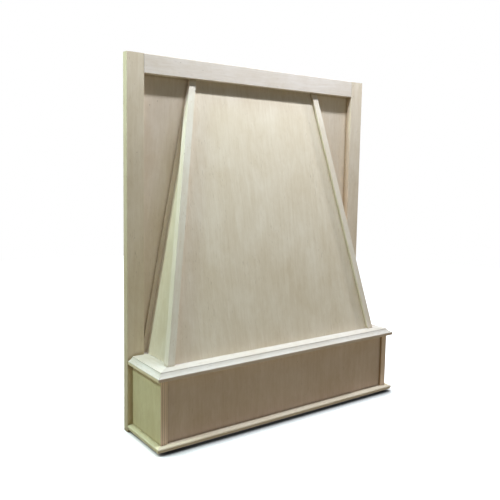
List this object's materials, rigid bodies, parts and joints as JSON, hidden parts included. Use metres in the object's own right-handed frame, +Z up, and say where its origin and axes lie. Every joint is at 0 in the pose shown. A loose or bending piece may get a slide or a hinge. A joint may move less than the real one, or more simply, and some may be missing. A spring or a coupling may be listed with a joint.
{
  "type": "range hood cover",
  "caption": "Unfinished maple range hood cover: tapered chimney with corner trims in a flat back frame, over a mitred ledge moulding and an apron box open underneath for a liner.",
  "frame": {"origin": "middle of the cover's outline in plan, level with the lower ends of the stiles", "axes": "+Z up, -Y out of the moulded front towards the room, +Y towards the wall, +X to the right as seen from the room"},
  "size_m": [0.762, 0.1966, 0.9017],
  "materials": {
    "frame_maple": "sanded, unfinished solid maple",
    "trim_maple": "sanded, unfinished solid maple mouldings",
    "panel_veneer": "unfinished rotary cut maple veneer plywood",
    "apron_ply": "unfinished maple veneer plywood",
    "cleat_wood": "rough sawn softwood glue strips"
  },
  "bodies": {
    "root": {"apron_front": "apron_ply", "apron_side_left": "apron_ply", "apron_side_right": "apron_ply", "bottom_moulding_front": "trim_maple", "bottom_moulding_left": "trim_maple", "bottom_moulding_right": "trim_maple", "chimney_cleat_left": "cleat_wood", "chimney_cleat_right": "cleat_wood", "chimney_front_panel": "panel_veneer", "chimney_side_left": "panel_veneer", "chimney_side_right": "panel_veneer", "corner_block_left": "cleat_wood", "corner_block_right": "cleat_wood", "corner_trim_left": "trim_maple", "corner_trim_right": "trim_maple", "ledge_cleat_front": "cleat_wood", "ledge_cleat_left": "cleat_wood", "ledge_cleat_right": "cleat_wood", "ledge_front": "trim_maple", "ledge_left": "trim_maple", "ledge_right": "trim_maple", "left_stile": "frame_maple", "liner_cleat_front": "cleat_wood", "liner_cleat_left": "cleat_wood", "liner_cleat_right": "cleat_wood", "rear_cleat_left": "cleat_wood", "rear_cleat_right": "cleat_wood", "recess_panel_left": "panel_veneer", "recess_panel_right": "panel_veneer", "right_stile": "frame_maple", "scribe_strip_left": "trim_maple", "scribe_strip_right": "trim_maple", "top_cleat": "cleat_wood", "top_rail": "frame_maple"}
  },
  "joints": []
}
